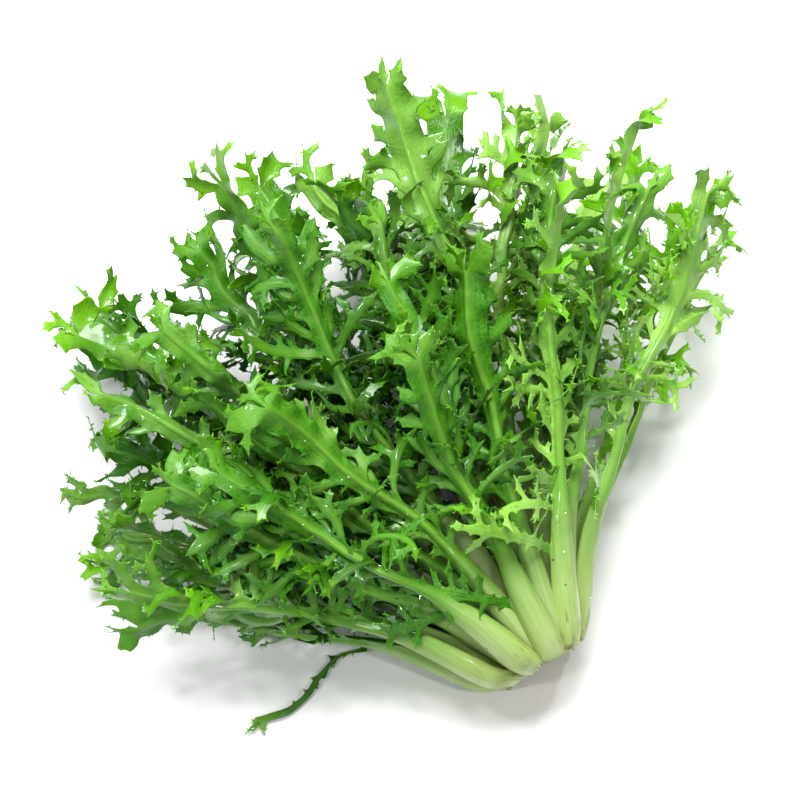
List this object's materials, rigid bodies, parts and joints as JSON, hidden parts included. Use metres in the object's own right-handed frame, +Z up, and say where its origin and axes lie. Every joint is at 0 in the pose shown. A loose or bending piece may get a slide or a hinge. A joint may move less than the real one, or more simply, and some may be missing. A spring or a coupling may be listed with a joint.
{
  "type": "curly endive head",
  "caption": "Cut head of curly endive lying on its side: narrow, deeply lobed and toothed leaves on pale stalks fan out from a short cut stem.",
  "frame": {"origin": "on the surface that the head lies on, under the middle of its bounding box", "axes": "+Y along the head from the cut end to the leaf tips, +X to its right side, +Z up from the surface it lies on"},
  "size_m": [0.3522, 0.2814, 0.1459],
  "materials": {
    "outer_leaf": "fresh leaf, deep green, slightly glossy, stalk paler towards the cut",
    "inner_leaf": "fresh leaf, mid green, slightly glossy, stalk paler towards the cut",
    "young_leaf": "fresh young leaf, yellow green, slightly glossy",
    "stem": "cut stem, cream with a browned face, matte"
  },
  "bodies": {
    "root": {"heart_leaf_01": "young_leaf", "heart_leaf_02": "young_leaf", "heart_leaf_03": "young_leaf", "heart_leaf_04": "young_leaf", "inner_leaf_01": "inner_leaf", "inner_leaf_02": "inner_leaf", "inner_leaf_03": "inner_leaf", "inner_leaf_04": "inner_leaf", "inner_leaf_05": "inner_leaf", "inner_leaf_06": "inner_leaf", "inner_leaf_07": "inner_leaf", "inner_leaf_08": "inner_leaf", "middle_leaf_01": "inner_leaf", "middle_leaf_02": "inner_leaf", "middle_leaf_03": "inner_leaf", "middle_leaf_04": "inner_leaf", "middle_leaf_05": "inner_leaf", "middle_leaf_06": "inner_leaf", "middle_leaf_07": "inner_leaf", "middle_leaf_08": "inner_leaf", "middle_leaf_09": "inner_leaf", "outer_leaf_01": "outer_leaf", "outer_leaf_02": "outer_leaf", "outer_leaf_03": "outer_leaf", "outer_leaf_04": "outer_leaf", "outer_leaf_05": "outer_leaf", "outer_leaf_06": "outer_leaf", "outer_leaf_07": "outer_leaf", "outer_leaf_08": "outer_leaf", "outer_leaf_09": "outer_leaf", "outer_leaf_10": "outer_leaf", "second_leaf_01": "outer_leaf", "second_leaf_02": "outer_leaf", "second_leaf_03": "outer_leaf", "second_leaf_04": "outer_leaf", "second_leaf_05": "outer_leaf", "second_leaf_06": "outer_leaf", "second_leaf_07": "outer_leaf", "second_leaf_08": "outer_leaf", "second_leaf_09": "outer_leaf", "second_leaf_10": "outer_leaf", "stem": "stem", "trailing_leaf": "outer_leaf", "young_leaf_01": "young_leaf", "young_leaf_02": "young_leaf", "young_leaf_03": "young_leaf", "young_leaf_04": "young_leaf", "young_leaf_05": "young_leaf", "young_leaf_06": "young_leaf"}
  },
  "joints": []
}
